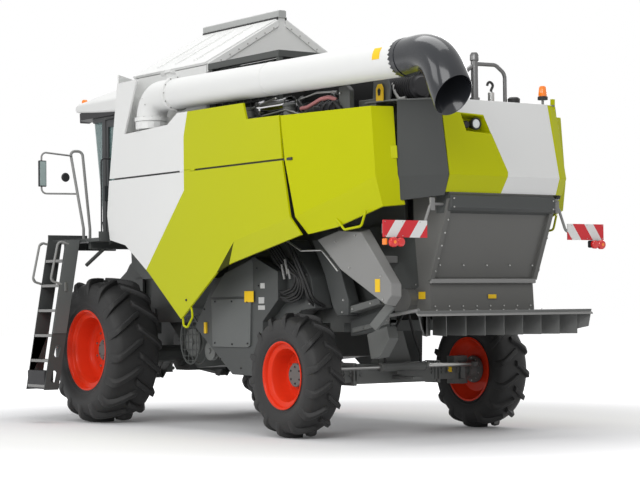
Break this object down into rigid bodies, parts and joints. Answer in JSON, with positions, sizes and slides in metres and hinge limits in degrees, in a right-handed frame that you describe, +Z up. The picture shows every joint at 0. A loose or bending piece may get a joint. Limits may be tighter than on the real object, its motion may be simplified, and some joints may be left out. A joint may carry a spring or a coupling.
{
  "type": "self-propelled combine harvester",
  "caption": "Self-propelled combine harvester on four wheels with cab, grain tank, folded unloading auger, feeder house and straw spreader; wheels, steering, doors, lids and auger move.",
  "frame": {"origin": "on the floor under the middle of the drive axle", "axes": "+X forward, +Y to the machine's left, +Z up"},
  "size_m": [8.5092, 3.569, 4.6073],
  "materials": {
    "tyre": "matte black rubber",
    "rim_red": "gloss orange red paint",
    "chassis_grey": "satin dark grey paint",
    "white_paint": "gloss off-white paint",
    "green_paint": "gloss yellow green paint",
    "light_grey": "satin light grey paint",
    "glass": "lightly tinted",
    "seat_cloth": "woven seat cloth",
    "black_plastic": "grained",
    "spout_rubber": "semi-matt",
    "rod_chrome": "ground",
    "engine_iron": "painted casting",
    "board_red": "reflective stripes",
    "mirror": "silvered"
  },
  "bodies": {
    "chassis": {"drive_axle": "chassis_grey", "rear_axle": "chassis_grey", "threshing_body": "chassis_grey", "main_frame": "chassis_grey", "side_housings": "chassis_grey", "belt_guards": "light_grey", "engine_deck": "chassis_grey", "engine": "engine_iron", "cooler_box": "chassis_grey", "air_filter": "black_plastic", "grain_tank": "white_paint", "rim_frame": "light_grey", "upper_panels": "white_paint", "rear_hood": "white_paint", "straw_chute": "chassis_grey", "chopper": "chassis_grey", "spreader": "light_grey", "cab_shell": "chassis_grey", "cab_glass": "glass", "cab_roof": "white_paint", "driver_seat": "seat_cloth", "console": "black_plastic", "platform": "chassis_grey", "ladder": "chassis_grey", "handrails": "chassis_grey", "mirrors": "mirror", "auger_foot": "white_paint", "warning_boards": "board_red", "board_arms": "chassis_grey", "grain_elevator": "light_grey", "exhaust_pipe": "rod_chrome", "lamps": "black_plastic"},
    "front_wheel_left": {"front_tyre_left": "tyre", "front_rim_left": "rim_red"},
    "front_wheel_right": {"front_tyre_right": "tyre", "front_rim_right": "rim_red"},
    "rear_wheel_left": {"rear_tyre_left": "tyre", "rear_rim_left": "rim_red"},
    "rear_wheel_right": {"rear_tyre_right": "tyre", "rear_rim_right": "rim_red"},
    "knuckle_left": {"knuckle_left": "chassis_grey"},
    "knuckle_right": {"knuckle_right": "chassis_grey"},
    "steering_rod": {"steering_rod": "rod_chrome"},
    "cab_door": {"cab_door": "chassis_grey", "door_glass": "glass"},
    "auger": {"auger_tube": "white_paint", "auger_spout": "spout_rubber"},
    "feeder": {"feeder_house": "green_paint"},
    "lift_barrels": {"lift_barrels": "chassis_grey"},
    "lift_rods": {"lift_rods": "rod_chrome"},
    "tank_lid_left": {"tank_lid_left": "white_paint"},
    "tank_lid_right": {"tank_lid_right": "white_paint"},
    "side_flap_left": {"side_flap_left": "green_paint"},
    "side_flap_right": {"side_flap_right": "green_paint"},
    "rear_door_left": {"rear_door_left": "green_paint"},
    "rear_door_right": {"rear_door_right": "green_paint"}
  },
  "joints": [
    {"name": "front_wheel_left_spin", "type": "hinge", "parent": "chassis", "child": "front_wheel_left", "pos_m": [0, 1.27, 0.825], "axis": [0, 1, 0], "continuous": true},
    {"name": "front_wheel_right_spin", "type": "hinge", "parent": "chassis", "child": "front_wheel_right", "pos_m": [0, -1.27, 0.825], "axis": [0, 1, 0], "continuous": true},
    {"name": "steering_left", "type": "hinge", "parent": "chassis", "child": "knuckle_left", "pos_m": [-3.72, 0.93, 0.62], "axis": [0, 0, 1], "range_deg": [-35, 35]},
    {"name": "steering_right", "type": "hinge", "parent": "chassis", "child": "knuckle_right", "pos_m": [-3.72, -0.93, 0.62], "axis": [0, 0, 1], "range_deg": [-35, 35]},
    {"name": "steering_rod_slide", "type": "slide", "parent": "chassis", "child": "steering_rod", "axis": [0, -1, 0], "range_m": [-0.121, 0.121]},
    {"name": "rear_wheel_left_spin", "type": "hinge", "parent": "knuckle_left", "child": "rear_wheel_left", "pos_m": [-3.72, 1.19, 0.62], "axis": [0, 1, 0], "continuous": true},
    {"name": "rear_wheel_right_spin", "type": "hinge", "parent": "knuckle_right", "child": "rear_wheel_right", "pos_m": [-3.72, -1.19, 0.62], "axis": [0, 1, 0], "continuous": true},
    {"name": "cab_door_swing", "type": "hinge", "parent": "chassis", "child": "cab_door", "pos_m": [0, 0.912, 2.865], "axis": [0, 0, 1], "range_deg": [0, 80]},
    {"name": "auger_swing", "type": "hinge", "parent": "chassis", "child": "auger", "pos_m": [-1.1, 1.29, 3.4], "axis": [0, 0, -1], "range_deg": [0, 95]},
    {"name": "feeder_lift", "type": "hinge", "parent": "chassis", "child": "feeder", "pos_m": [0.45, 0, 1.55], "axis": [0, -1, 0], "range_deg": [-10, 20]},
    {"name": "lift_barrel_pivot", "type": "hinge", "parent": "chassis", "child": "lift_barrels", "pos_m": [0.25, 0, 0.52], "axis": [0, -1, 0], "range_deg": [-7.36, 14.23]},
    {"name": "lift_rod_slide", "type": "slide", "parent": "lift_barrels", "child": "lift_rods", "axis": [0.9941, 0, 0.1084], "range_m": [-0.1729, 0.3428]},
    {"name": "tank_lid_left_hinge", "type": "hinge", "parent": "chassis", "child": "tank_lid_left", "pos_m": [-0.9875, 1.012, 3.933], "axis": [-1, 0, 0], "range_deg": [0, 95]},
    {"name": "tank_lid_right_hinge", "type": "hinge", "parent": "chassis", "child": "tank_lid_right", "pos_m": [-0.9875, -1.012, 3.933], "axis": [1, 0, 0], "range_deg": [0, 95]},
    {"name": "side_flap_left_hinge", "type": "hinge", "parent": "chassis", "child": "side_flap_left", "pos_m": [-2.05, 1.412, 2.75], "axis": [1, 0, 0], "range_deg": [0, 80]},
    {"name": "side_flap_right_hinge", "type": "hinge", "parent": "chassis", "child": "side_flap_right", "pos_m": [-2.05, -1.412, 2.75], "axis": [-1, 0, 0], "range_deg": [0, 80]},
    {"name": "rear_door_left_hinge", "type": "hinge", "parent": "chassis", "child": "rear_door_left", "pos_m": [-5.131, 0.986, 2.75], "axis": [0, 0, 1], "range_deg": [0, 80]},
    {"name": "rear_door_right_hinge", "type": "hinge", "parent": "chassis", "child": "rear_door_right", "pos_m": [-5.131, -0.986, 2.75], "axis": [0, 0, -1], "range_deg": [0, 80]}
  ],
  "couplings": [
    {"joint": "steering_right", "follows": "steering_left", "ratio": 1},
    {"joint": "steering_rod_slide", "follows": "steering_left", "m_per_rad": 0.1965},
    {"joint": "lift_barrel_pivot", "follows": "feeder_lift", "ratio": 0.68641},
    {"joint": "lift_rod_slide", "follows": "feeder_lift", "m_per_rad": 0.97343}
  ]
}
